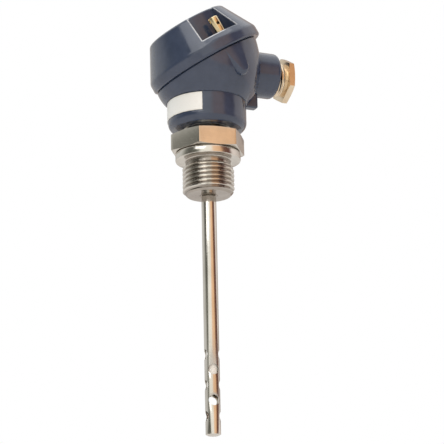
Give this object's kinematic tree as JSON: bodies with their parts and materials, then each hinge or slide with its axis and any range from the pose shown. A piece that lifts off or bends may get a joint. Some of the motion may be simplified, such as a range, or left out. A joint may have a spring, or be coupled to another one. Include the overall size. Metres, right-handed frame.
{
  "type": "resistance temperature probe with connection head",
  "caption": "Screw-in resistance temperature probe: slanted-lid connection head with cable gland, hexagon fitting with flange and pipe thread, and a slim vented stem.",
  "frame": {"origin": "centre of the flange's sealing face, on the probe's axis", "axes": "+Z along the probe's axis from the tip to the head, +X along the cable entry, outwards"},
  "size_m": [0.0599, 0.0496, 0.1784],
  "materials": {
    "navy_paint": "glossy sprayed paint over die-cast aluminium",
    "stainless": "turned bright stainless steel",
    "brass": "machined bright brass",
    "plated_brass": "nickel-plated brass",
    "zinc_steel": "zinc-plated steel",
    "white_ceramic": "fine white ceramic, unglazed",
    "black_rubber": "smooth moulded rubber",
    "grey_silicone": "soft silicone rubber",
    "label_film": "matt printed film",
    "red_sleeve": "smooth wire sleeve",
    "white_sleeve": "smooth wire sleeve"
  },
  "bodies": {
    "probe": {"head_body": "navy_paint", "lid_gasket": "grey_silicone", "type_label": "label_film", "gland_washer": "zinc_steel", "gland_seal": "black_rubber", "process_fitting": "stainless", "probe_tube": "stainless", "tube_end_cap": "stainless", "sensing_element": "white_ceramic", "lead_insulator": "white_ceramic", "element_leads": "zinc_steel", "lead_wires_red": "red_sleeve", "lead_wires_white": "white_sleeve", "terminal_block": "white_ceramic", "terminal_clamps": "brass", "terminal_screws": "zinc_steel", "block_screws": "zinc_steel", "ground_screw": "zinc_steel"},
    "lid": {"head_lid": "navy_paint"},
    "front_screw": {"lid_screw_front": "brass", "screw_clip_front": "zinc_steel"},
    "back_screw": {"lid_screw_back": "brass", "screw_clip_back": "zinc_steel"},
    "compression_screw": {"gland_screw": "plated_brass"}
  },
  "joints": [
    {"name": "lid_lift", "type": "slide", "parent": "probe", "child": "lid", "axis": [-0.5247, 0, 0.8513], "range_m": [0, 0.03]},
    {"name": "front_screw_turn", "type": "hinge", "parent": "lid", "child": "front_screw", "pos_m": [0.00136, -0.0206, 0.04249], "axis": [-0.5247, 0, 0.8513], "continuous": true},
    {"name": "back_screw_turn", "type": "hinge", "parent": "lid", "child": "back_screw", "pos_m": [0.00136, 0.0206, 0.04249], "axis": [-0.5247, 0, 0.8513], "continuous": true},
    {"name": "compression_screw_turn", "type": "hinge", "parent": "probe", "child": "compression_screw", "pos_m": [0.0308, 0, 0.0393], "axis": [1, 0, 0], "continuous": true}
  ]
}
